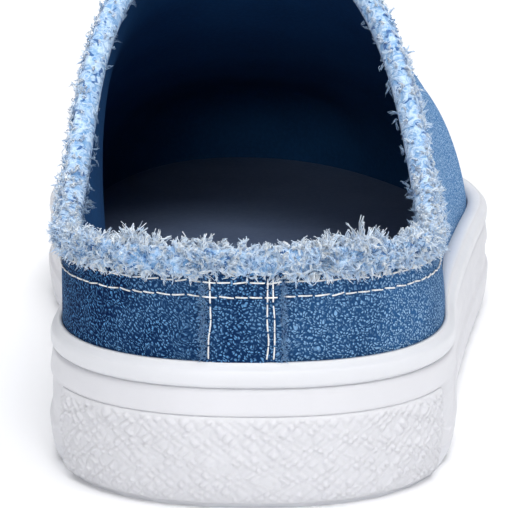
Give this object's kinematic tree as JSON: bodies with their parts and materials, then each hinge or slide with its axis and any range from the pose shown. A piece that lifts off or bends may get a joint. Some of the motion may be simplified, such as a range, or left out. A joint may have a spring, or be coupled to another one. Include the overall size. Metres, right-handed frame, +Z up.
{
  "type": "slip-on sneaker",
  "caption": "Low-backed denim slip-on shoe for the right foot, with a frayed collar, a heel strip and a thick white rubber platform sole.",
  "frame": {"origin": "on the floor, under the middle of the shoe's bounding box in plan", "axes": "+Y from the heel to the toe, +X to the outer side of the right foot, +Z up"},
  "size_m": [0.105, 0.2605, 0.0901],
  "materials": {
    "outsole": "matt white rubber",
    "midsole": "satin white rubber",
    "rand": "satin white rubber",
    "heel_patch": "white rubber with a woven relief",
    "upper": "washed blue denim",
    "heel_strip": "washed blue denim",
    "insole": "dark navy cloth",
    "collar_fray": "pale blue frayed yarn"
  },
  "bodies": {
    "root": {"outsole": "outsole", "midsole": "midsole", "rand": "rand", "heel_patch": "heel_patch", "upper": "upper", "heel_strip": "heel_strip", "insole": "insole", "collar_fray": "collar_fray"}
  },
  "joints": []
}
